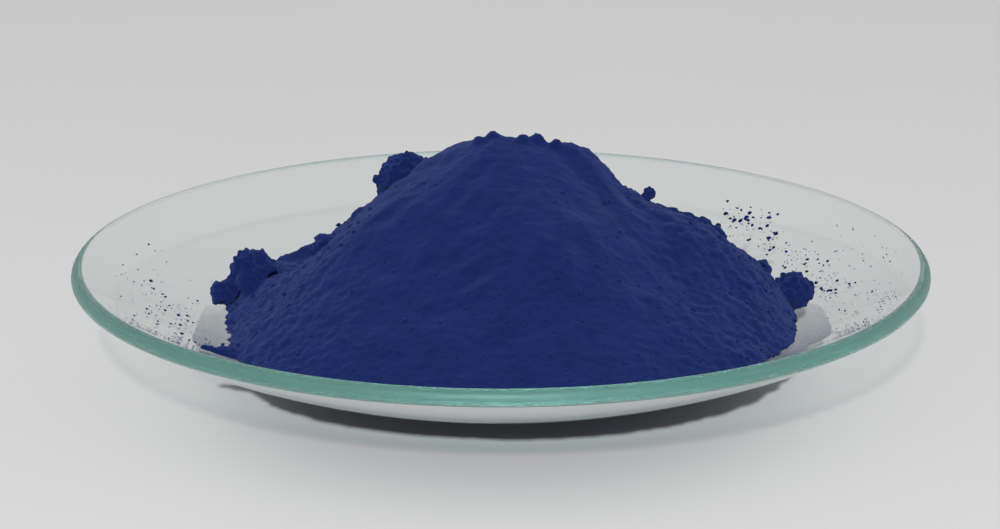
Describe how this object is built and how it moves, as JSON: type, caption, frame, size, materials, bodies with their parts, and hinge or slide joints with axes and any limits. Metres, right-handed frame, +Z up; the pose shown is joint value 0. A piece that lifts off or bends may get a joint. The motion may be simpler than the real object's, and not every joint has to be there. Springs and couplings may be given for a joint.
{
  "type": "watch glass",
  "caption": "Shallow round watch glass of clear glass, with a polished edge and a heap of dry pigment powder, clods and loose grains in it.",
  "frame": {"origin": "lowest point of the convex underside, on the dish's axis, where it touches the table", "axes": "+Z up along the dish's axis, -Y towards the front of the heap, +X to the right"},
  "size_m": [0.1, 0.1, 0.0296],
  "materials": {
    "glass": "clear soda-lime glass, fire-polished edge, green when seen along its thickness",
    "pigment": "dry matte powder, dark blue"
  },
  "bodies": {
    "glass": {"watch_glass": "glass"},
    "powder": {"powder_heap": "pigment", "clod_left": "pigment", "clod_mid_left": "pigment", "clod_back_left": "pigment", "clod_right": "pigment", "crumb_shoulder": "pigment", "crumbs_loose": "pigment", "grains_left": "pigment", "grains_right": "pigment"}
  },
  "joints": [
    {"name": "powder_lift", "type": "slide", "parent": "glass", "child": "powder", "axis": [0, 0, 1], "range_m": [0, 0.04]}
  ]
}
